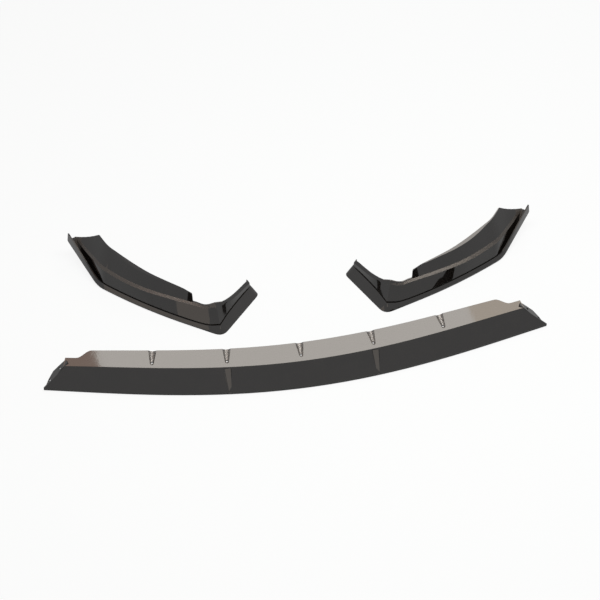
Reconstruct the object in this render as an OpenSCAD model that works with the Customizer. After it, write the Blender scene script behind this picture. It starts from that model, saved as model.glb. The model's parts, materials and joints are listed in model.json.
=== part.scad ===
// Front splitter lip in three mouldings: a centre lip and a pair of mirrored corner lips,
// laid on the floor with their front edges towards -Y. Gloss black sheet, hollow underneath.

/* [Sheet] */
// Thickness of every moulded wall
wall = 3; // [2:0.5:3.5]
// Width of the flange turned in under the front edges
return_w = 16; // [13:1:20]
// Diameter of the screw holes
screw_d = 4; // [3.5:0.5:6]

/* [Centre lip] */
// Width between the two bottom tips
centre_w = 1100; // [1060:10:1160]
// Distance that the bottom tips sweep back behind the middle
centre_sweep = 89; // [75:1:105]
// Height of the upright front edge
edge_h = 8; // [6:1:12]
// How far the front edges lean out between the floor and their top
edge_lean = 2; // [1:0.5:3]
// Height of the crest between the front face and the mounting flange
crest_h = 42; // [36:1:48]
// Depth from the front edge to the crest, at the middle
crest_depth = 38; // [32:1:44]
// Width of the mounting flange behind the crest, in plan
flange_w = 40; // [36:1:46]
// Rise of the mounting flange from the crest to its rear edge
flange_rise = 18; // [14:1:22]
// Width of the narrowed ends of the flange
flange_end_w = 18; // [14:1:24]
// How far the crest stops short of each bottom tip
end_slant = 47; // [40:1:54]
// Width of the joining flange at each slanted end
end_flange_w = 19; // [17:1:24]
// Diameter of the two holes in each joining flange
end_hole_d = 6; // [5:0.5:7]

/* [Screw scoops] */
// Distance between neighbouring scoops
scoop_pitch = 156; // [140:1:170]
// Length of a scoop from the rear edge forward
scoop_len = 28; // [24:1:32]
// Width of a scoop at the rear edge
scoop_w = 18; // [15:1:22]
// Depth of a scoop at the rear edge
scoop_deep = 5; // [4:0.5:6]

/* [Face ribs] */
// Distance of each rib from the middle
rib_x = 160; // [140:1:180]
// Width of a rib at the crest
rib_top_w = 17; // [13:1:21]
// Width of a rib at the front edge
rib_foot_w = 9; // [7:1:12]
// How far a rib stands proud of the face
rib_proud = 2.5; // [1.5:0.5:4]

/* [Corner lips] */
// Length of the outer leg, from the corner to the fin's tail
outer_leg = 424; // [410:1:440]
// Length of the inner leg
inner_leg = 154; // [145:1:165]
// Angle between the two legs
corner_angle = 96.3; // [92:0.1:100]
// Radius of the bottom edge round the corner
corner_round = 23; // [18:1:26]
// Place along the outer leg where the fin rises out of the lower band
fin_start = 305; // [295:1:315]
// Angle that the fin turns away from the outer leg's front end
fin_angle = 31; // [26:1:35]
// Height of the fin's foot at its tail
fin_foot_h = 38; // [30:1:39]
// Height of the fin's blade at its tail
fin_blade_h = 27; // [22:1:32]
// Thickness of the fin
fin_t = 3.2; // [2.5:0.1:3.5]
// Height of the corner lips' rear wall at their outer ends
wall_crest_h = 80; // [74:1:86]
// Distance between the two screw holes under each corner lip
corner_hole_gap = 150; // [120:1:180]

/* [Layout] */
// Middle of the centre lip's front edge
centre_place = [-17.2, -244.95]; // [-400:0.05:400]
// Corner of the right corner lip
right_place = [191.8, -60.95]; // [-400:0.05:400]
// Heading of the right corner lip's outer leg
right_turn = 19; // [0:0.5:45]
// Corner of the left corner lip
left_place = [-168.2, -66.95]; // [-400:0.05:400]
// Heading of the left corner lip's outer leg
left_turn = 34.5; // [0:0.5:45]

/* [Hidden] */
gloss_black = [0.09, 0.085, 0.08];
round_fn = 40;
// How far a cutter reaches past the face it opens
over = 1;

// Smoothing between named places: tables hold [place, value, value, ...] rows

function row_at(rows, u, i = 0) =
    (i >= len(rows) - 2 || u < rows[i + 1][0]) ? i : row_at(rows, u, i + 1);

function tangent(rows, i, k) =
    let (a = max(i - 1, 0), b = min(i + 1, len(rows) - 1))
    (rows[b][k] - rows[a][k]) / (rows[b][0] - rows[a][0]);

function smooth(rows, u, k = 1) =
    let (
        i = row_at(rows, u),
        h = rows[i + 1][0] - rows[i][0],
        s = max(0, min(1, (u - rows[i][0]) / h)),
        p = rows[i][k],
        q = rows[i + 1][k],
        m = tangent(rows, i, k) * h,
        n = tangent(rows, i + 1, k) * h
    )
    (2 * s * s * s - 3 * s * s + 1) * p + (s * s * s - 2 * s * s + s) * m
    + (3 * s * s - 2 * s * s * s) * q + (s * s * s - s * s) * n;

// 0 before a, 1 after b, with an S-curve between
function s_curve(u, a, b) =
    let (s = max(0, min(1, (u - a) / (b - a))))
    s * s * (3 - 2 * s);

// Distance gained by a line that starts to bend at a and is straight again after a run
function bend(u, a, run) =
    u <= a ? 0 : u <= a + run ? (u - a) * (u - a) / (2 * run) : u - a - run / 2;

function bezier(a, b, c, s) =
    (1 - s) * (1 - s) * a + 2 * s * (1 - s) * b + s * s * c;

// A wall's section is a line of [inset, height] points from the foot to the top.
// Its inner face lies one wall thickness to the right of it.

function unit(v) = v / norm(v);
function right_of(v) = [v[1], -v[0]];

function edge_normal(line, i) = unit(right_of(line[i + 1] - line[i]));

function inner_point(line, i) =
    let (
        last = len(line) - 1,
        a = edge_normal(line, max(i - 1, 0)),
        b = edge_normal(line, min(i, last - 1))
    )
    line[i] + wall * (a + b) / (1 + a * b);

function inner_line(line) = [for (i = [0 : len(line) - 1]) inner_point(line, i)];

function reversed(list) = [for (i = [len(list) - 1 : -1 : 0]) list[i]];

// Faces that close a ring's end: a fan, or a strip between the two faces of a wall
function fan_cap(n) = [for (j = [1 : n - 2]) [0, j, j + 1]];
function strip_cap(n) = [
    for (j = [0 : n / 2 - 2])
        each [[j, j + 1, n - 2 - j], [j, n - 2 - j, n - 1 - j]]
];

// A closed skin over rings that all have the same number of points
module loft(rings, cap) {
    n = len(rings[0]);
    last = len(rings) - 1;
    points = [for (ring = rings) each ring];
    start_cap = [for (face = cap) reversed(face)];
    end_cap = [for (face = cap) [for (j = face) last * n + j]];
    sides = [
        for (i = [0 : last - 1], j = [0 : n - 1])
            let (
                a = i * n + j,
                b = i * n + (j + 1) % n,
                c = a + n,
                d = b + n
            )
            each [[a, d, c], [a, b, d]]
    ];
    polyhedron(points, concat(start_cap, end_cap, sides), convexity = 12);
}

// Centre lip: bowed in plan, with a sloping front face, a crest and a mounting flange

half_w = centre_w / 2;
// Bow of the foot, the crest and the flange's rear edge: a share of the sweep
// goes with the square of the distance from the middle, the rest with its fourth power
foot_bow = 1.25;
crest_bow = 1.29;
crest_flatter = 0.38;
rear_bow = 1.24;
rear_flatter = 0.43;
flange_slope = flange_rise / flange_w;
crest_end_x = half_w - end_slant;
// The flange's rear edge stops short of the crest by this much
rear_short = 6;
rear_end_x = crest_end_x - rear_short;
// The full flange narrows between these shares of its length
neck_from = 0.885;
neck_to = 0.955;
crest_round = 1.8;

function bow(x, square, fourth) =
    let (t = x / half_w)
    centre_sweep * (square * t * t - fourth * t * t * t * t);

function foot_y(x) = bow(x, foot_bow, foot_bow - 1);
function crest_y(x) = crest_depth + bow(x, crest_bow, crest_flatter);
function rear_full_y(x) = crest_depth + flange_w + bow(x, rear_bow, rear_flatter);

function rear_y(t) =
    let (
        full = rear_full_y(t * rear_end_x),
        narrow = crest_y(t * crest_end_x) + flange_end_w
    )
    full + (narrow - full) * s_curve(abs(t), neck_from, neck_to);

function rear_z(t) = crest_h + flange_slope * (rear_y(t) - crest_y(t * crest_end_x));

// Section at t, from -1 at the left end to 1 at the right end, as [depth, height]
function centre_outline(t) =
    let (
        foot = foot_y(t * half_w),
        crest = crest_y(t * crest_end_x) - foot,
        rear = rear_y(t) - foot,
        face = unit([crest + edge_lean, crest_h - edge_h]),
        flange = unit([rear - crest, rear_z(t) - crest_h])
    )
    [
        [return_w, 0],
        [0, 0],
        [-edge_lean, edge_h],
        [crest, crest_h] - crest_round * face,
        [crest, crest_h] + crest_round * flange,
        [rear, rear_z(t)]
    ];

// How far out each point of the section runs: foot, foot, foot, crest, crest, rear
centre_reach = [half_w - return_w, half_w, half_w, crest_end_x, crest_end_x, rear_end_x];

function centre_ring(t) =
    let (
        outer = centre_outline(t),
        inner = inner_line(outer),
        place = function(p, k) [t * centre_reach[k], foot_y(t * half_w) + p[0], p[1]]
    )
    concat(
        [for (k = [0 : 5]) place(outer[k], k)],
        [for (k = [5 : -1 : 0]) place(inner[k], k)]
    );

// Stations to the right of the middle. Each scoop falls in the middle of a flat strip
// between two of them, and they lie closer together where the flange narrows.
strips_per_scoop = 5;
strip = scoop_pitch / strips_per_scoop / rear_end_x;
neck_strip = 0.01;
centre_stations = [
    each [strip / 2 : strip : neck_from - 2 * neck_strip],
    each [neck_from - neck_strip : neck_strip : neck_to + neck_strip],
    1 - 1.5 * neck_strip,
    1
];

module centre_shell() {
    stations = concat([for (t = reversed(centre_stations)) -t], centre_stations);
    loft([for (t = stations) centre_ring(t)], strip_cap(12));
}

// The slanted end edge runs from the crest's end down to the bottom tip
crest_end = [crest_end_x, crest_y(crest_end_x), crest_h];
bottom_tip = [half_w, foot_y(half_w), 0];
end_along = unit(bottom_tip - crest_end);
end_back = unit([0, 1, 0] - end_along[1] * end_along);
end_out = cross(end_along, end_back);
end_edge = norm(bottom_tip - crest_end);
// Outline of the joining flange, as shares of the slanted edge's length and of its width
end_flange_shape = [[0.66, 0.68], [0.38, 1], [0.12, 0.84]];
// The joining flange runs on past the crest's end by this length
end_flange_past = 13;
end_flange_top_w = 0.6 * end_flange_w;
// Holes in the joining flange, by their distance along the slanted edge and back from it
end_holes = [[9, 8], [43, 7.5]];

module at_end_edge() {
    multmatrix([
        [end_along[0], end_back[0], end_out[0], crest_end[0]],
        [end_along[1], end_back[1], end_out[1], crest_end[1]],
        [end_along[2], end_back[2], end_out[2], crest_end[2]],
        [0, 0, 0, 1]
    ]) children();
}

module end_flange() {
    intersection() {
        at_end_edge()
        translate([0, 0, -wall])
        linear_extrude(wall)
        polygon([
            [-end_flange_past, 0],
            [end_edge - over, 0],
            for (p = end_flange_shape) [p[0] * end_edge, p[1] * end_flange_w],
            [-end_flange_past, end_flange_top_w]
        ]);
        // Nothing of it hangs below the floor
        cube([centre_w, centre_w, 2 * crest_h]);
    }
}

module end_flange_holes() {
    at_end_edge()
    for (p = end_holes)
        translate([p[0], p[1], -wall - over])
        cylinder(h = wall + 2 * over, d = end_hole_d, $fn = round_fn);
}

// A screw scoop is half a cone sunk into the flange from its rear edge,
// so that the screw head sits below the sheet
scoop_tip_r = 4.2;
scoop_tip_deep = 3;
// Outline of its blunt tip, as shares of the tip's radius: out from the axis, and forward
scoop_nose = [[0, -0.8], [0.55, -0.6]];
scoop_r = (scoop_w * scoop_w / 4 + scoop_deep * scoop_deep) / (2 * scoop_deep);
scoop_x = [for (i = [-2 : 2]) i * scoop_pitch];
scoop_hole_from_tip = 5;

// Every scoop stands square to the crest, which has this heading in the scoop's strip
function scoop_turn(x) =
    let (half = scoop_pitch / strips_per_scoop / 2)
    atan((crest_y(x + half) - crest_y(x - half)) / (2 * half));

// Puts the origin on the flange's rear edge at a scoop
module at_scoop(x) {
    t = x / rear_end_x;
    translate([x, rear_y(t), rear_z(t)])
    rotate(scoop_turn(x))
    children();
}

module scoop_cone(grow, extra) {
    rear_axis = [0, 0, scoop_r - scoop_deep];
    tip = -scoop_len * [0, 1, flange_slope];
    tip_axis = tip + [0, 0, scoop_tip_r - scoop_tip_deep];
    run = rear_axis - tip_axis;
    lean = atan2(run[2], run[1]);
    reach = norm(run) + extra;
    tip_r = scoop_tip_r + grow;
    rear_r = tip_r + (scoop_r - scoop_tip_r) * reach / norm(run);
    translate(tip_axis)
    rotate([lean - 90, 0, 0])
    rotate_extrude($fn = round_fn)
    polygon([
        each tip_r * scoop_nose,
        [tip_r, 0],
        [rear_r, reach],
        [0, reach]
    ]);
}

// Keeps only what lies under the flange and in front of its rear edge
module under_flange() {
    rotate([atan(flange_slope), 0, 0])
    translate([-scoop_w, -2 * scoop_len, -2 * scoop_w])
    cube([2 * scoop_w, 2 * scoop_len, 2 * scoop_w]);
}

module scoop_pockets() {
    for (x = scoop_x)
        at_scoop(x)
        intersection() {
            scoop_cone(wall, 0);
            under_flange();
        }
}

module scoop_hollows() {
    for (x = scoop_x)
        at_scoop(x)
        scoop_cone(0, 2 * wall);
}

module scoop_screw_holes() {
    for (x = scoop_x)
        at_scoop(x)
        translate([0, scoop_hole_from_tip - scoop_len, -crest_h])
        cylinder(h = 2 * crest_h, d = screw_d, $fn = round_fn);
}

// The ribs start this far below the top of the front edge, reach this far into the face,
// and have sloping sides of this width
rib_drop = 2;
rib_bed = 1.5;
rib_side_w = 2;
// A rib thins out towards the front edge to this share of its height
rib_foot_share = 0.4;

// A raised rib down the front face, wider at the crest
module face_rib(x) {
    foot = foot_y(x);
    crest = crest_y(x);
    run = crest - foot + edge_lean;
    out = rib_proud * unit([-(crest_h - edge_h), run]);
    low = [foot - edge_lean, edge_h - rib_drop];
    high = [crest, crest_h] - crest_round * unit([run, crest_h - edge_h]);
    ring = function(w, p, proud) [
        [x - w / 2, p[0] + rib_bed, p[1]],
        [x - w / 2, p[0], p[1]],
        [x - w / 2 + rib_side_w, p[0] + proud[0], p[1] + proud[1]],
        [x + w / 2 - rib_side_w, p[0] + proud[0], p[1] + proud[1]],
        [x + w / 2, p[0], p[1]],
        [x + w / 2, p[0] + rib_bed, p[1]]
    ];
    loft([ring(rib_top_w, high, out), ring(rib_foot_w, low, rib_foot_share * out)], fan_cap(6));
}

module centre_lip_body() {
    difference() {
        union() {
            centre_shell();
            end_flange();
            mirror([1, 0, 0]) end_flange();
            scoop_pockets();
            face_rib(rib_x);
            face_rib(-rib_x);
        }
        scoop_hollows();
        scoop_screw_holes();
        end_flange_holes();
        mirror([1, 0, 0]) end_flange_holes();
    }
}

// Corner lip, right-hand: its corner is at the origin, the outer leg runs along +X
// and sweeps back, and the inner leg runs back at the corner angle.
// Places along it count outwards from the corner, and backwards as negative numbers.

leg_dir = [cos(corner_angle), sin(corner_angle)];
leg_in = [sin(corner_angle), -cos(corner_angle)];
mitre = 1 / tan(corner_angle / 2);
// The mitred sections straighten out over this distance from the corner
mitre_run = 90;
sweep_from = 90;
sweep_rate = 0.000417;
fin_run = 30;
fin_slope = tan(fin_angle) - 2 * sweep_rate * (fin_start - sweep_from);
foot_climb = fin_foot_h / (outer_leg - fin_start - fin_run / 2);

function sweep_y(u) =
    let (v = min(u, fin_start) - sweep_from)
    (v > 0 ? sweep_rate * v * v : 0)
    + max(0, u - fin_start) * 2 * sweep_rate * (fin_start - sweep_from);

function lip_foot_y(u) = sweep_y(u) + fin_slope * bend(u, fin_start, fin_run);
function lip_foot_z(u) = foot_climb * bend(u, fin_start, fin_run);

fin_mid = (fin_start + outer_leg) / 2 + 12;
past_tail = outer_leg + 8;

// Top of the upright edge: place, inset, height above the foot
lip_edge = [
    [-inner_leg, 11, 12], [-90, 11, 12], [-40, 9, 10.5], [0, 5, 6],
    [30, 1.5, 5], [60, 0.6, 5], [past_tail, 0.6, 5]
];
// Top of the lower band, which rises into the fin: place, inset, height above the foot
lip_band = [
    [-inner_leg, 18, 19], [-90, 18, 19], [-40, 17, 17.5], [0, 14.5, 14.5],
    [20, 9, 13], [45, 5, 11.5], [90, 3.5, 11], [fin_start - 10, 4, 11],
    [fin_start + 26, 3, 15.5], [fin_mid, 1.5, 0.81 * fin_blade_h],
    [outer_leg, 1, fin_blade_h], [past_tail, 1, fin_blade_h]
];
// Shoulder at the top of the main face: place, inset, height
lip_shoulder = [
    [-inner_leg, 20.5, 29], [-100, 22.5, 32], [-50, 27, 36.5], [-20, 32, 41], [0, 36.5, 45.5],
    [25, 31, 41], [47, 27, 38], [75, 27, 37.5], [100, 25.5, 37],
    [150, 20.5, 37], [200, 15.5, 37], [240, 14, 37.5], [275, 15, 38],
    [fin_start, 17, 39], [340, 17.5, 41], [fin_mid, 16.5, 43.5],
    [outer_leg, 17.5, 49.5], [past_tail, 18, 50.5]
];
// Chamfer above the shoulder: place, width in plan, rise
lip_chamfer = [
    [-inner_leg, 3.2, 4], [0, 3.2, 4], [60, 5, 3], [200, 6.5, 3.8], [fin_start, 7, 4.6],
    [outer_leg, 5, 3.6], [past_tail, 5, 3.6]
];
// Crest of the rear wall: place, inset, height
crest_start_h = 58;
lip_crest = [
    [80, 37, crest_start_h - 1], [96, 39, crest_start_h],
    [120, 42, crest_start_h + 2.3], [160, 40.5, crest_start_h + 5.7],
    [200, 37.5, crest_start_h + 9], [240, 38, wall_crest_h - 9.5],
    [275, 43, wall_crest_h - 6], [fin_start, 50.5, wall_crest_h - 3.5],
    [330, 54, wall_crest_h - 1.5], [350, 55.5, wall_crest_h],
    [past_tail, 70, wall_crest_h + 6]
];
// The rear wall starts with a short step between these places
crest_from = 87;
crest_full = 94;
// Seat behind the crest, by its width
lip_seat = [
    [-inner_leg, 2], [120, 2.5], [160, 4], [200, 7], [240, 9.5],
    [275, 8], [315, 3], [past_tail, 2.5]
];
// The edge's lean grows between these places, and the turned-in flange loses
// this share of its width under the fin
lean_from = 5;
lean_full = 60;
fin_return_loss = 0.4;
// Groove between the band and the main face: its bottom, from the band's top edge,
// and its upper lip, from the bottom. It comes up to a mere step at the inner leg's end.
groove = [3.4, -1.2];
groove_lip = [-0.6, 3.8];
step = [2.4, 0.8];
step_lip = [-0.8, 2.2];
groove_run = 40;
band_top_w = 0.8;
fin_gap = 3;
fin_from = fin_start - 6;
fin_full = fin_start + 22;

// Section at place u, as [inset, height] points from the turned-in flange to the seat
function lip_section(u) =
    let (
        fin = s_curve(u, fin_from, fin_full),
        foot = [0, lip_foot_z(u)],
        lean = edge_lean * s_curve(u, lean_from, lean_full),
        turned = return_w * (1 - fin_return_loss * fin),
        edge = foot + [smooth(lip_edge, u, 1) - lean, smooth(lip_edge, u, 2)],
        band = foot + [smooth(lip_band, u, 1), smooth(lip_band, u, 2)],
        band_back = band + [band_top_w + fin * (fin_t - band_top_w), 0.2 * (1 - fin)],
        valley = [band[0] + fin_t + fin_gap, foot[1] + 9],
        cut = s_curve(u, -inner_leg, -inner_leg + groove_run),
        notch = (1 - fin) * (band + step + cut * (groove - step)) + fin * valley,
        start = notch + (1 - fin) * (step_lip + cut * (groove_lip - step_lip)) + fin * [1, 2],
        shoulder = [smooth(lip_shoulder, u, 1), smooth(lip_shoulder, u, 2)],
        chamfer = shoulder + [smooth(lip_chamfer, u, 1), smooth(lip_chamfer, u, 2)],
        full = s_curve(u, crest_from, crest_full),
        low_crest = chamfer + [1, 1.3],
        high_crest = [smooth(lip_crest, u, 1), smooth(lip_crest, u, 2)],
        crest = low_crest + full * (high_crest - low_crest)
    )
    [
        foot + [turned, 0], foot, edge, band, band_back, notch, start,
        shoulder, chamfer, crest, crest + [smooth(lip_seat, u, 1), 0]
    ];

// The inner face follows the section without the band's top
inner_keys = [0, 1, 2, 5, 7, 8, 9, 10];
function lip_inner(section) = inner_line([for (k = inner_keys) section[k]]);

// Closes a section's end with a fan from each inner point to the outer points it stands behind
function lip_cap(section_points) =
    let (last = section_points + len(inner_keys) - 1)
    [
        for (i = [0 : len(inner_keys) - 2])
            let (a = inner_keys[i], b = inner_keys[i + 1])
            each [
                for (j = [a : b - 1]) [j, j + 1, last - i],
                [b, last - i - 1, last - i]
            ]
    ];

// Setback of each point where the section turns into the end wall of the inner leg
end_return_w = 0.6 * return_w;
outer_back = [end_return_w, 0, 0, 0, 0, 0, 0, 0, 0, 0, 0];
inner_back = [end_return_w, wall, wall, wall, wall, wall, wall, wall];

// The end wall leans back by this much between its foot and its top
end_lean = 8;
end_top_h = 34.3;
end_foot_round = 15;
end_top_round = 3.5;
// It runs inwards by this much, and there it has dropped to this share of its height
end_reach = 32;
end_drop = 0.78;

function lip_round(inset) =
    max(1, (corner_round * mitre) * (1 - inset / 16));

// Where a point of the section lies in plan, for each stretch of the path
function on_outer_leg(u, inset) =
    [u + inset * mitre * max(0, 1 - u / mitre_run), lip_foot_y(u) + inset];

function on_inner_leg(v, inset) =
    leg_dir * (v + inset * mitre * max(0, 1 - v / mitre_run)) + leg_in * inset;

function on_corner(s, inset) =
    let (
        point = [inset * mitre, inset],
        r = lip_round(inset)
    )
    bezier(point + [r, 0], point, point + r * leg_dir, s);

function end_run(z, back) = inner_leg - end_lean * z / end_top_h - back;

function on_leg_end(s, p, back) =
    let (
        point = leg_dir * end_run(p[1], back) + leg_in * p[0],
        full = end_foot_round + (end_top_round - end_foot_round) * p[1] / end_top_h,
        r = max(1, full - back)
    )
    bezier(point - r * leg_dir, point, point + r * leg_in, s);

function on_end_wall(p, back) =
    leg_dir * end_run(p[1], back) + leg_in * end_reach;

// Stations: [stretch, place along it, place that sets the section]
lip_stations = [
    ["wall", 0, -inner_leg],
    for (s = [1 : -0.25 : 0]) ["end", s, -inner_leg],
    for (v = [inner_leg - 20 : -20 : 30]) ["inner", v, -v],
    for (s = [1 : -0.2 : 0]) ["corner", s, 0],
    for (u = [26 : 7 : 82]) ["outer", u, u],
    for (u = [crest_from : 1.75 : crest_full]) ["outer", u, u],
    for (u = [104 : 12 : fin_from - 4]) ["outer", u, u],
    for (u = [fin_from : 7 : fin_full]) ["outer", u, u],
    for (u = [fin_full + 6 : 12 : past_tail]) ["outer", u, u]
];

function lip_place(station, p, back) =
    station[0] == "wall" ? on_end_wall(p, back)
    : station[0] == "end" ? on_leg_end(station[1], p, back)
    : station[0] == "inner" ? on_inner_leg(station[1], p[0])
    : station[0] == "corner" ? on_corner(station[1], p[0])
    : on_outer_leg(station[1], p[0]);

function lip_ring(station) =
    let (
        share = station[0] == "wall" ? end_drop : 1,
        outer = [for (p = lip_section(station[2])) [p[0], share * p[1]]],
        inner = lip_inner(outer)
    )
    concat(
        [
            for (k = [0 : len(outer) - 1])
                let (p = lip_place(station, outer[k], outer_back[k]))
                [p[0], p[1], outer[k][1]]
        ],
        [
            for (k = [len(inner) - 1 : -1 : 0])
                let (p = lip_place(station, inner[k], inner_back[k]))
                [p[0], p[1], inner[k][1]]
        ]
    );

// The outer end is cut off square across, just behind the fin's foot, with its corner bevelled
tail_behind = 12.5;
tail_bevel = 11;
tail_y = lip_foot_y(outer_leg) + tail_behind;
bevel_slope = 5 / 6;
cut_from = fin_start - 2 * fin_run;
cut_reach = wall_crest_h;

module outer_end_cut() {
    translate([0, 0, -over])
    linear_extrude(2 * wall_crest_h)
    polygon([
        [cut_from, tail_y],
        [outer_leg - tail_bevel, tail_y],
        [outer_leg, tail_y - tail_bevel],
        [outer_leg + cut_reach, tail_y - tail_bevel - bevel_slope * cut_reach],
        [outer_leg + cut_reach, tail_y + cut_reach],
        [cut_from, tail_y + cut_reach]
    ]);
}

corner_hole_x = 50;
corner_hole_in = 0.56 * return_w;
corner_holes = [
    [corner_hole_x, corner_hole_in],
    [corner_hole_x + corner_hole_gap, lip_foot_y(corner_hole_x + corner_hole_gap) + corner_hole_in]
];

module corner_lip() {
    difference() {
        loft([for (s = lip_stations) lip_ring(s)], lip_cap(len(outer_back)));
        outer_end_cut();
        for (p = corner_holes)
            translate([p[0], p[1], -over])
            cylinder(h = wall + 2 * over, d = screw_d, $fn = round_fn);
    }
}

module centre_lip() {
    color(gloss_black)
    translate(centre_place)
    centre_lip_body();
}

module right_corner_lip() {
    color(gloss_black)
    translate(right_place)
    rotate(right_turn)
    corner_lip();
}

module left_corner_lip() {
    color(gloss_black)
    translate(left_place)
    mirror([1, 0, 0])
    rotate(left_turn)
    corner_lip();
}

centre_lip();
left_corner_lip();
right_corner_lip();
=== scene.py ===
# %% [markdown]
# # Front splitter lip
# Three gloss black mouldings lie on a pale floor: a wide centre lip with a mounting
# flange, and a mirrored pair of corner lips. Everything below gives them their finish,
# lights them and sets the camera.

import json
import math

import bpy
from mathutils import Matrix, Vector

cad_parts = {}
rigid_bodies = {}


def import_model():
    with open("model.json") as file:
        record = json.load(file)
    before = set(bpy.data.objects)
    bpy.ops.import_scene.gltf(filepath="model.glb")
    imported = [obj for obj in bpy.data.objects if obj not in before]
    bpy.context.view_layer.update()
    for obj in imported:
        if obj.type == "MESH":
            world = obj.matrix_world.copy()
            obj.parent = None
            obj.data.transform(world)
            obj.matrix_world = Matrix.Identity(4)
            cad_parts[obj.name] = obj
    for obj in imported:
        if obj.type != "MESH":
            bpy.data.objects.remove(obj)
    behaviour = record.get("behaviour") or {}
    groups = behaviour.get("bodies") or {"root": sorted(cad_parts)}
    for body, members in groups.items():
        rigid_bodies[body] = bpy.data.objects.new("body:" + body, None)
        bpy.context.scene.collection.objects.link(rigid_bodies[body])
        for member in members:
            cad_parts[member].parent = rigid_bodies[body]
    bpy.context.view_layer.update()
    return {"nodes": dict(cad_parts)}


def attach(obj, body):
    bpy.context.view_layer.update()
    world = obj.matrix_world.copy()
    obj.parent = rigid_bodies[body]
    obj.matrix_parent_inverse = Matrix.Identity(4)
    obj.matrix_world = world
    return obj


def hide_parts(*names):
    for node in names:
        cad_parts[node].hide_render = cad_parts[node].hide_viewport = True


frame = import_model()

# %% [markdown]
# The camera comes first, so that every later choice is seen from the photograph's side.
# A long lens far away keeps the lips' proportions. Its place is given by where it looks,
# how high it stands and how far round to the left it is.

# %% Camera
look_at = Vector((0.0160, 0.01375, 0.0))
camera_at = Vector((-0.6174, -3.63185, 3.8317))
lens_mm = 144.8
view_depth = 60.0


def add_camera(name, place, target, lens):
    data = bpy.data.cameras.new(name)
    data.lens = lens
    data.clip_end = view_depth
    camera = bpy.data.objects.new(name, data)
    bpy.context.collection.objects.link(camera)
    camera.location = place
    camera.rotation_euler = (target - place).to_track_quat("-Z", "Y").to_euler()
    bpy.context.scene.camera = camera
    return camera


camera = add_camera("photo_camera", camera_at, look_at, lens_mm)
print("camera stands", round((camera_at - look_at).length, 3), "m away")

# %% [markdown]
# The background is white to the camera, and the gloss has to mirror that same white. So
# one small helper marks the rays that see it: camera, glossy and transmission rays.

# %% Background rays
def background_rays(nodes, links):
    path = nodes.new("ShaderNodeLightPath")
    seen = path.outputs["Is Camera Ray"]
    for kind in ("Is Glossy Ray", "Is Transmission Ray"):
        either = nodes.new("ShaderNodeMath")
        either.operation = "MAXIMUM"
        links.new(seen, either.inputs[0])
        links.new(path.outputs[kind], either.inputs[1])
        seen = either.outputs["Value"]
    return seen


print("helper:", background_rays.__name__)

# %% [markdown]
# The floor is one large pale sheet. Where it is seen or mirrored, a plain white glow is
# mixed in, so that it stays white and still keeps the soft shadow under the lips.

# %% Floor
floor_size = 14.0
floor_glow = 0.87
pale = (0.85, 0.95, 1.0, 1.0)


def add_plane(name, size, place):
    bpy.ops.object.select_all(action="DESELECT")
    bpy.ops.mesh.primitive_plane_add(size=size, location=place)
    plane = bpy.context.active_object
    plane.name = name
    return plane


def floor_material():
    material = bpy.data.materials.new("pale_floor")
    material.use_nodes = True
    nodes = material.node_tree.nodes
    links = material.node_tree.links
    nodes.clear()
    paint = nodes.new("ShaderNodeBsdfDiffuse")
    paint.inputs["Color"].default_value = pale
    glow = nodes.new("ShaderNodeEmission")
    share = nodes.new("ShaderNodeMath")
    share.operation = "MULTIPLY"
    share.inputs[1].default_value = floor_glow
    mix = nodes.new("ShaderNodeMixShader")
    out = nodes.new("ShaderNodeOutputMaterial")
    links.new(background_rays(nodes, links), share.inputs[0])
    links.new(share.outputs["Value"], mix.inputs["Fac"])
    links.new(paint.outputs["BSDF"], mix.inputs[1])
    links.new(glow.outputs["Emission"], mix.inputs[2])
    links.new(mix.outputs["Shader"], out.inputs["Surface"])
    return material


floor = add_plane("studio_floor", floor_size, (0.0, 0.0, 0.0))
floor.data.materials.append(floor_material())
print("floor:", floor.name)

# %% [markdown]
# Gloss black shows mostly what it mirrors, so the set is lit by large soft panels. A panel
# is a lamp with a flat face of even brightness that the camera itself never sees. A card
# is a panel that is only mirrored and lights nothing else.

# %% Panels and cards
def add_panel(name, place, target, width, height, glow, tint, lights=True):
    data = bpy.data.lights.new(name, "AREA")
    data.shape = "RECTANGLE"
    data.size = width
    data.size_y = height
    # An area lamp's watts for a wanted brightness of its face
    data.energy = glow * math.pi * width * height
    data.color = tint
    panel = bpy.data.objects.new(name, data)
    bpy.context.collection.objects.link(panel)
    panel.location = place
    panel.rotation_euler = (Vector(target) - Vector(place)).to_track_quat("-Z", "Y").to_euler()
    panel.visible_camera = False
    panel.visible_diffuse = lights
    return panel


def add_card(name, place, target, width, height, glow, tint):
    return add_panel(name, place, target, width, height, glow, tint, lights=False)


daylight = (1.0, 0.935, 0.86)
cream = (1.0, 0.86, 0.71)
rose = (1.0, 0.65, 0.49)
brown = (1.0, 0.78, 0.60)
print("tints:", daylight, cream, rose, brown)

# %% [markdown]
# The centre lip's flange faces the ceiling. It mirrors one large panel overhead, with a
# dimmer, warmer one at each end. A fourth panel behind lights the set from the back.

# %% Ceiling
ceiling = [
    add_panel("overhead_panel", (0.23, -0.27, 2.3), (0.23, -0.27, 0.0), 1.92, 0.75, 8.3, daylight),
    add_panel(
        "left_ceiling_panel", (-1.065, -0.25, 2.3), (-1.065, -0.25, 0.0), 0.67, 0.75, 2.9, rose
    ),
    add_panel(
        "right_ceiling_panel", (1.47, -0.25, 2.3), (1.47, -0.25, 0.0), 0.56, 0.75, 6.9, cream
    ),
    add_panel("back_panel", (0.85, 1.95, 1.95), (0.3, 0.1, 0.0), 0.8, 0.7, 5.0, daylight),
]
print("ceiling:", [p.name for p in ceiling])

# %% [markdown]
# Two soft cards stand well away in front. The low one picks out the ribs on the centre
# lip's face, and the one at the left warms the left corner lip.

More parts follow.
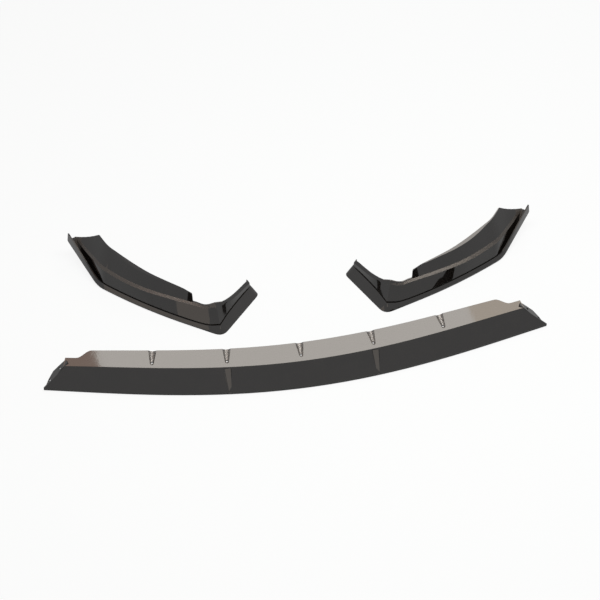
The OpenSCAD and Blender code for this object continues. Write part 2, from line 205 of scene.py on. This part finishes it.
# %% Cards in front
front = [
    add_card("rib_card", (0.2, -2.1, 1.93), (0.2, -0.2, 0.0), 1.2, 0.3, 1.0, cream),
    add_card("window_card", (-1.81, -0.775, 1.03), (-0.3, 0.03, 0.0), 1.6, 0.5, 0.7, brown),
]
print("front:", [p.name for p in front])

# %% [markdown]
# The air round the set gives a little even light. Where it is seen or mirrored it is the
# same plain white as the floor.

# %% World
world = bpy.data.worlds.new("studio_air")
world.use_nodes = True
bpy.context.scene.world = world
nodes, links = world.node_tree.nodes, world.node_tree.links
air = nodes["Background"]
air.inputs["Color"].default_value = (1.0, 0.97, 0.93, 1.0)
air.inputs["Strength"].default_value = 0.2
white = nodes.new("ShaderNodeBackground")
white.inputs["Color"].default_value = (1.0, 1.0, 1.0, 1.0)
either = nodes.new("ShaderNodeMixShader")
links.new(background_rays(nodes, links), either.inputs["Fac"])
links.new(air.outputs["Background"], either.inputs[1])
links.new(white.outputs["Background"], either.inputs[2])
links.new(either.outputs["Shader"], nodes["World Output"].inputs["Surface"])
bpy.context.scene.view_settings.view_transform = "Standard"
print("world nodes:", len(nodes))

# %% [markdown]
# All the skins come from one sheet of gloss black plastic. Formed plastic is never quite
# flat, so a slow ripple bends what it mirrors, and a fine film of dust dulls it here and
# there. Both are patterns on Object coordinates, made once as node groups.

# %% Shared node groups
def new_group(name, inputs, outputs):
    group = bpy.data.node_groups.new(name, "ShaderNodeTree")
    for socket, kind, value in inputs:
        made = group.interface.new_socket(name=socket, in_out="INPUT", socket_type=kind)
        made.default_value = value
    for socket, kind in outputs:
        group.interface.new_socket(name=socket, in_out="OUTPUT", socket_type=kind)
    start = group.nodes.new("NodeGroupInput")
    end = group.nodes.new("NodeGroupOutput")
    return group, start, end


def noise(nodes, scale, detail, rough=0.5):
    made = nodes.new("ShaderNodeTexNoise")
    made.inputs["Scale"].default_value = scale
    made.inputs["Detail"].default_value = detail
    made.inputs["Roughness"].default_value = rough
    return made


def ramp(nodes, low, high, start=0.0, end=1.0):
    made = nodes.new("ShaderNodeMapRange")
    made.inputs["From Min"].default_value = low
    made.inputs["From Max"].default_value = high
    made.inputs["To Min"].default_value = start
    made.inputs["To Max"].default_value = end
    return made


def ripple_group():
    group, start, end = new_group(
        "formed_ripple",
        [("Vector", "NodeSocketVector", (0.0, 0.0, 0.0)), ("Strength", "NodeSocketFloat", 0.2)],
        [("Normal", "NodeSocketVector")],
    )
    nodes, links = group.nodes, group.links
    slow = noise(nodes, 9.0, 1.0)
    fine = noise(nodes, 60.0, 2.0)
    both = nodes.new("ShaderNodeMath")
    both.operation = "MULTIPLY_ADD"
    both.inputs[1].default_value = 0.06
    bump = nodes.new("ShaderNodeBump")
    bump.inputs["Distance"].default_value = 0.004
    links.new(start.outputs["Vector"], slow.inputs["Vector"])
    links.new(start.outputs["Vector"], fine.inputs["Vector"])
    links.new(fine.outputs["Fac"], both.inputs[0])
    links.new(slow.outputs["Fac"], both.inputs[2])
    links.new(both.outputs["Value"], bump.inputs["Height"])
    links.new(start.outputs["Strength"], bump.inputs["Strength"])
    links.new(bump.outputs["Normal"], end.inputs["Normal"])
    return group


def dust_group():
    group, start, end = new_group(
        "settled_dust",
        [("Vector", "NodeSocketVector", (0.0, 0.0, 0.0)), ("Amount", "NodeSocketFloat", 0.3)],
        [("Mask", "NodeSocketFloat")],
    )
    nodes, links = group.nodes, group.links
    film = noise(nodes, 22.0, 5.0, 0.65)
    specks = noise(nodes, 420.0, 2.0)
    film_range = ramp(nodes, 0.42, 0.78)
    speck_range = ramp(nodes, 0.70, 0.76)
    total = nodes.new("ShaderNodeMath")
    total.operation = "ADD"
    total.use_clamp = True
    scaled = nodes.new("ShaderNodeMath")
    scaled.operation = "MULTIPLY"
    links.new(start.outputs["Vector"], film.inputs["Vector"])
    links.new(start.outputs["Vector"], specks.inputs["Vector"])
    links.new(film.outputs["Fac"], film_range.inputs["Value"])
    links.new(specks.outputs["Fac"], speck_range.inputs["Value"])
    links.new(film_range.outputs["Result"], total.inputs[0])
    links.new(speck_range.outputs["Result"], total.inputs[1])
    links.new(total.outputs["Value"], scaled.inputs[0])
    links.new(start.outputs["Amount"], scaled.inputs[1])
    links.new(scaled.outputs["Value"], end.inputs["Mask"])
    return group


def grain_group():
    group, start, end = new_group(
        "mould_grain",
        [
            ("Vector", "NodeSocketVector", (0.0, 0.0, 0.0)),
            ("Scale", "NodeSocketFloat", 500.0),
            ("Strength", "NodeSocketFloat", 0.5),
        ],
        [("Mask", "NodeSocketFloat"), ("Normal", "NodeSocketVector")],
    )
    nodes, links = group.nodes, group.links
    pits = noise(nodes, 500.0, 2.0)
    mask = ramp(nodes, 0.40, 0.60)
    bump = nodes.new("ShaderNodeBump")
    bump.inputs["Distance"].default_value = 0.0008
    links.new(start.outputs["Vector"], pits.inputs["Vector"])
    links.new(start.outputs["Scale"], pits.inputs["Scale"])
    links.new(pits.outputs["Fac"], mask.inputs["Value"])
    links.new(pits.outputs["Fac"], bump.inputs["Height"])
    links.new(start.outputs["Strength"], bump.inputs["Strength"])
    links.new(mask.outputs["Result"], end.inputs["Mask"])
    links.new(bump.outputs["Normal"], end.inputs["Normal"])
    return group


formed_ripple = ripple_group()
settled_dust = dust_group()
mould_grain = grain_group()
print("groups:", formed_ripple.name, settled_dust.name, mould_grain.name)

# %% [markdown]
# The gloss black itself is a plain Principled surface. Its black is a little warm. The
# ripple group bends its normals, and the dust group lifts its colour and its roughness.

# %% Gloss black
black = (0.006, 0.0050, 0.0046)
dust_colour = (0.20, 0.18, 0.16)


def place_group(nodes, group, **values):
    made = nodes.new("ShaderNodeGroup")
    made.node_tree = group
    for name, value in values.items():
        made.inputs[name].default_value = value
    return made


def plastic(name, colour, roughness, ripple, dust):
    material = bpy.data.materials.new(name)
    material.use_nodes = True
    nodes = material.node_tree.nodes
    links = material.node_tree.links
    surface = nodes["Principled BSDF"]
    where = nodes.new("ShaderNodeTexCoord")
    bend = place_group(nodes, formed_ripple, Strength=ripple)
    film = place_group(nodes, settled_dust, Amount=dust)
    tint = nodes.new("ShaderNodeMix")
    tint.data_type = "RGBA"
    tint.inputs["A"].default_value = (*colour, 1.0)
    tint.inputs["B"].default_value = (*dust_colour, 1.0)
    dull = ramp(nodes, 0.0, 1.0, roughness, 0.6)
    links.new(where.outputs["Object"], bend.inputs["Vector"])
    links.new(where.outputs["Object"], film.inputs["Vector"])
    links.new(film.outputs["Mask"], tint.inputs["Factor"])
    links.new(film.outputs["Mask"], dull.inputs["Value"])
    links.new(tint.outputs["Result"], surface.inputs["Base Color"])
    links.new(dull.outputs["Result"], surface.inputs["Roughness"])
    links.new(bend.outputs["Normal"], surface.inputs["Normal"])
    return material


gloss_black = plastic("gloss_black", black, 0.04, 0.12, 0.02)
dull_inside = plastic("dull_inside", (0.022, 0.021, 0.020), 0.5, 0.3, 0.3)
print("smooth finishes:", gloss_black.name, dull_inside.name)

# %% [markdown]
# Where the mould is rough the plastic comes out grained: coarse and sparkling in the sunk
# scoops, fine along the corner lips' chamfer. The low foot edges are given a dull, dark
# finish as painted shade, standing in for the shadowed floor that they mirror.

# %% Grained finishes and painted foot shade
def grained(name, pit, peak, roughness, gloss, scale, strength):
    material = bpy.data.materials.new(name)
    material.use_nodes = True
    nodes = material.node_tree.nodes
    links = material.node_tree.links
    surface = nodes["Principled BSDF"]
    surface.inputs["Roughness"].default_value = roughness
    surface.inputs["Specular IOR Level"].default_value = gloss
    where = nodes.new("ShaderNodeTexCoord")
    grain = place_group(nodes, mould_grain, Scale=scale, Strength=strength)
    tint = nodes.new("ShaderNodeMix")
    tint.data_type = "RGBA"
    tint.inputs["A"].default_value = (*pit, 1.0)
    tint.inputs["B"].default_value = (*peak, 1.0)
    links.new(where.outputs["Object"], grain.inputs["Vector"])
    links.new(grain.outputs["Mask"], tint.inputs["Factor"])
    links.new(tint.outputs["Result"], surface.inputs["Base Color"])
    links.new(grain.outputs["Normal"], surface.inputs["Normal"])
    return material


scoop_grain = grained(
    "scoop_grain", (0.02, 0.018, 0.017), (0.16, 0.15, 0.14), 0.22, 0.9, 420.0, 0.9
)
fine_grain = grained(
    "fine_grain", (0.026, 0.022, 0.019), (0.045, 0.038, 0.033), 0.28, 0.5, 900.0, 0.35
)
# Painted shade: a dull, dark finish that darkens the low outward edges at the foot, in place of
# the shadowed floor they mirror
foot_shade_finish = grained(
    "foot_shade_finish", (0.005, 0.0045, 0.004), (0.009, 0.008, 0.007), 0.5, 0.2, 700.0, 0.2
)
finishes = [gloss_black, fine_grain, scoop_grain, dull_inside, foot_shade_finish]
print("finishes:", [f.name for f in finishes])

# %% [markdown]
# Each skin starts as a copy of its measured solid. The copy's loose triangles are merged
# into one closed sheet and its stored normals are cleared. It is then smoothed across its
# small facets and left sharp at its folds.

# %% Skins
merge_gap = 0.00001
sliver = 0.00002
# Steepest turn between facets that still counts as one smooth surface, in degrees
centre_fold = 5.0
corner_fold = 18.0


def skin_of(node, name, fold):
    source = frame["nodes"][node]
    bpy.ops.object.select_all(action="DESELECT")
    source.select_set(True)
    bpy.context.view_layer.objects.active = source
    bpy.ops.object.duplicate()
    skin = bpy.context.active_object
    skin.name = name
    bpy.ops.object.parent_clear(type="CLEAR_KEEP_TRANSFORM")
    bpy.ops.object.mode_set(mode="EDIT")
    bpy.ops.mesh.select_all(action="SELECT")
    bpy.ops.mesh.remove_doubles(threshold=merge_gap)
    bpy.ops.mesh.dissolve_degenerate(threshold=sliver)
    bpy.ops.mesh.mark_sharp(clear=True)
    bpy.ops.object.mode_set(mode="OBJECT")
    bpy.ops.mesh.customdata_custom_splitnormals_clear()
    skin.data.materials.clear()
    for finish in finishes:
        skin.data.materials.append(finish)
    bpy.ops.object.shade_smooth_by_angle(angle=math.radians(fold), keep_sharp_edges=False)
    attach(skin, "root")
    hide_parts(node)
    return skin


skins = {
    "centre_lip": skin_of("centre_lip", "centre_lip_skin", centre_fold),
    "left_corner_lip": skin_of("left_corner_lip", "left_corner_lip_skin", corner_fold),
    "right_corner_lip": skin_of("right_corner_lip", "right_corner_lip_skin", corner_fold),
}
print("skins:", {s.name: len(s.data.polygons) for s in skins.values()})

# %% [markdown]
# Most of a skin is gloss. Faces that look down or in are dull, as they come out of the
# mould. The scoops are sunk into the flange with a rough grain, and the chamfer along the
# corner lips has a fine one. A face is told apart by where it lies and which way it looks.

# %% Finishes by face
# FOOT_SHADE is the painted shade finish for the low edges at the foot
FINE_GRAIN, SCOOP_GRAIN, DULL_INSIDE, FOOT_SHADE = 1, 2, 3, 4
# Middle of each scoop's rear edge, and its turn in degrees
scoops = [
    (-0.3292, -0.1354, -10.86),
    (-0.1732, -0.1583, -6.43),
    (-0.0172, -0.1670, 0.0),
    (0.1388, -0.1583, 6.43),
    (0.2948, -0.1354, 10.86),
]
scoop_len = 0.0285
scoop_rear_half = 0.0096
scoop_tip_half = 0.0044
scoop_margin = 0.001
flange_slope = math.radians(24.2)
same_plane = 0.9995
looks_up = 0.05


def lies_in_flange(face, turn):
    rise, run = math.cos(flange_slope), math.sin(flange_slope)
    up = Vector((math.sin(turn) * run, -math.cos(turn) * run, rise))
    return face.normal.dot(up) > same_plane


def in_scoop(face):
    for x, y, degrees in scoops:
        turn = math.radians(degrees)
        dx, dy = face.center.x - x, face.center.y - y
        across = dx * math.cos(turn) + dy * math.sin(turn)
        forward = dx * math.sin(turn) - dy * math.cos(turn)
        half = scoop_rear_half + (scoop_tip_half - scoop_rear_half) * forward / scoop_len
        if -scoop_margin < forward < scoop_len and abs(across) < half:
            return face.normal.z > looks_up and not lies_in_flange(face, turn)
    return False


chamfer_low, chamfer_high = 0.036, 0.062
chamfer_steep, chamfer_flat = 0.74, 0.95


def on_chamfer(face):
    high_enough = chamfer_low < face.center.z < chamfer_high
    return high_enough and chamfer_steep < face.normal.z < chamfer_flat


# Faces that take the painted foot shade lie below this height and look out, not up or straight
# down
edge_top = 0.011
edge_down, edge_up = -0.5, 0.2
looks_down = -0.1


def give_finishes(skin, test, finish):
    count = 0
    for face in skin.data.polygons:
        # Low outward faces at the foot take the painted foot shade
        if face.center.z < edge_top and edge_down < face.normal.z < edge_up:
            face.material_index = FOOT_SHADE
        elif face.normal.z < looks_down:
            face.material_index = DULL_INSIDE
        elif test(face):
            face.material_index = finish
            count += 1
    return count


def soften_within(skin, finish):
    faces_at = {}
    for face in skin.data.polygons:
        for key in face.edge_keys:
            faces_at.setdefault(key, []).append(face.material_index)
    for edge in skin.data.edges:
        if all(index == finish for index in faces_at[edge.key]):
            edge.use_edge_sharp = False


print("scoop faces:", give_finishes(skins["centre_lip"], in_scoop, SCOOP_GRAIN))
soften_within(skins["centre_lip"], SCOOP_GRAIN)
for side in ("left", "right"):
    skin = skins[f"{side}_corner_lip"]
    print(side, "chamfer faces:", give_finishes(skin, on_chamfer, FINE_GRAIN))

# %% [markdown]
# Last, each skin's smoothing is weighed by face size, so that the broad faces decide how
# the gloss mirrors and the slivers beside the scoops leave no marks in it.

# %% Even shading
for skin in skins.values():
    bpy.ops.object.select_all(action="DESELECT")
    skin.select_set(True)
    bpy.context.view_layer.objects.active = skin
    bpy.ops.object.modifier_add(type="WEIGHTED_NORMAL")
    skin.modifiers[-1].keep_sharp = True
    bpy.ops.object.modifier_apply(modifier=skin.modifiers[-1].name)
print("evened:", sorted(skins))
